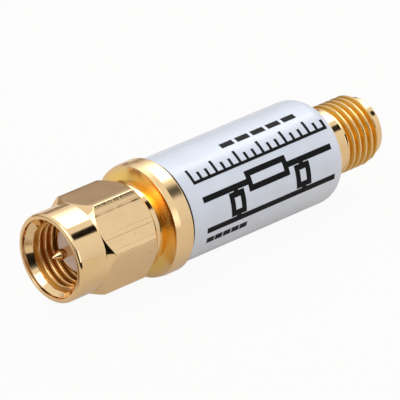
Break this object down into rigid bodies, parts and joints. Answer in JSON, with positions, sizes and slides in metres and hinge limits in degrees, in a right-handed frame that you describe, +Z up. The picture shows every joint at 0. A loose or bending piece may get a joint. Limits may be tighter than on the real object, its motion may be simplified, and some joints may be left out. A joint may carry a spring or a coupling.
{
  "type": "coaxial rf attenuator",
  "caption": "In-line coaxial attenuator: round sleeved housing with a threaded jack at one end and a captive hexagonal coupling nut over a centre pin at the other.",
  "frame": {"origin": "under the middle of the length, on the plane the part lies on", "axes": "+X along the coax axis from the plug's nut to the threaded jack, +Z up, +Y away from the camera's side"},
  "size_m": [0.0364, 0.0102, 0.0102],
  "materials": {
    "gold_plated_brass": "bright gold plate on turned brass",
    "contact_gold": "bright gold plate",
    "beryllium_copper": "satin, gold plated",
    "ptfe": "waxy white",
    "sleeve_film": "satin, pale grey",
    "alumina": "fine ceramic"
  },
  "bodies": {
    "body": {"plug_shell": "gold_plated_brass", "plug_insulator": "ptfe", "plug_pin": "contact_gold", "housing": "gold_plated_brass", "label_sleeve": "sleeve_film", "jack_insulator": "ptfe", "jack_contact": "contact_gold", "attenuator_card": "alumina", "card_clamp_top": "beryllium_copper", "card_clamp_bottom": "beryllium_copper"},
    "ring": {"snap_ring": "beryllium_copper"},
    "nut": {"coupling_nut": "gold_plated_brass"}
  },
  "joints": [
    {"name": "nut_float", "type": "slide", "parent": "body", "child": "ring", "axis": [1, 0, 0], "range_m": [0, 0.0002]},
    {"name": "nut_spin", "type": "hinge", "parent": "ring", "child": "nut", "pos_m": [-0.0124, 0, 0.0051], "axis": [1, 0, 0], "continuous": true}
  ]
}
